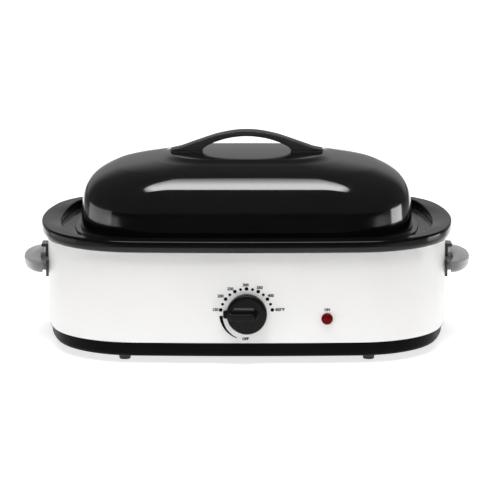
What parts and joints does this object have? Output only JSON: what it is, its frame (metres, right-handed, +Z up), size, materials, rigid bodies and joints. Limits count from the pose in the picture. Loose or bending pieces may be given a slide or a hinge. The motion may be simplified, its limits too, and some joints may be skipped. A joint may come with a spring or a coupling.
{
  "type": "electric roaster oven",
  "caption": "Oval countertop roaster oven: lift-off domed lid with an arched handle, removable pan and wire rack, side handles and a rotary thermostat with a pilot lamp.",
  "frame": {"origin": "centre of the footprint, bounding box seen from above, in the plane of the feet", "axes": "+Z up, -Y out of the front with the knob, +X towards the right-hand side handle as seen from the front"},
  "size_m": [0.614, 0.421, 0.2865],
  "materials": {
    "black_enamel": "gloss enamel",
    "grey_phenolic": "satin gloss, heat-resistant moulding",
    "black_washer": "matte",
    "zinc_steel": "bright zinc plate",
    "pan_enamel": "gloss enamel with fine pale flecks",
    "rack_chrome": "bright plated wire",
    "rim_black": "satin black",
    "wrap_white": "semi-gloss white",
    "well_steel": "aluminised",
    "base_black": "satin black",
    "glass_wool": "soft fibre",
    "element_sleeve": "woven glass sleeve",
    "retainer_steel": "bright",
    "terminal_brass": "plain",
    "ceramic_body": "unglazed, off-white",
    "knob_black": "satin gloss",
    "lamp_red": "translucent red",
    "lamp_glass": "clear",
    "plate_black": "matte black",
    "foot_rubber": "matte",
    "gland_rubber": "matte",
    "lead_red": "glass-braid insulation",
    "lead_white": "glass-braid insulation",
    "lead_black": "glass-braid insulation"
  },
  "bodies": {
    "housing": {"top_ring": "rim_black", "body_wrap": "wrap_white", "heating_well": "well_steel", "base_pan": "base_black", "insulation_blanket": "glass_wool", "heat_shield": "well_steel", "heating_element": "element_sleeve", "element_retainer": "retainer_steel", "element_terminals": "terminal_brass", "thermostat_body": "ceramic_body", "thermostat_bracket": "zinc_steel", "thermostat_bushing": "terminal_brass", "thermostat_nut": "zinc_steel", "thermostat_screws": "zinc_steel", "lamp_lens": "lamp_red", "lamp_bulb": "lamp_glass", "lamp_clip": "zinc_steel", "side_handle_left": "grey_phenolic", "side_handle_right": "grey_phenolic", "handle_plates": "plate_black", "side_handle_screws": "zinc_steel", "feet": "foot_rubber", "foot_screws": "zinc_steel", "foot_nuts": "zinc_steel", "well_studs": "zinc_steel", "stud_nuts": "zinc_steel", "standoffs": "zinc_steel", "cord_gland": "gland_rubber", "terminal_block": "ceramic_body", "terminal_bracket": "zinc_steel", "terminal_screws": "terminal_brass", "lead_line": "lead_red", "lead_neutral": "lead_white", "lead_element": "lead_black", "lamp_leads": "lead_black"},
    "pan": {"roasting_pan": "pan_enamel"},
    "wire_rack": {"rack": "rack_chrome"},
    "lid": {"lid_shell": "black_enamel", "lid_handle": "grey_phenolic", "lid_handle_pads": "black_washer", "lid_handle_washers": "zinc_steel", "lid_handle_screws": "zinc_steel"},
    "knob": {"control_knob": "knob_black", "thermostat_shaft": "zinc_steel"}
  },
  "joints": [
    {"name": "pan_lift", "type": "slide", "parent": "housing", "child": "pan", "axis": [0, 0, 1], "range_m": [0, 0.14]},
    {"name": "rack_lift", "type": "slide", "parent": "pan", "child": "wire_rack", "axis": [0, 0, 1], "range_m": [0, 0.13]},
    {"name": "lid_lift", "type": "slide", "parent": "wire_rack", "child": "lid", "axis": [0, 0, 1], "range_m": [0, 0.16]},
    {"name": "knob_turn", "type": "hinge", "parent": "housing", "child": "knob", "pos_m": [0, -0.18082, 0.0694], "axis": [0, -1, 0], "range_deg": [-169.2, 90]}
  ]
}
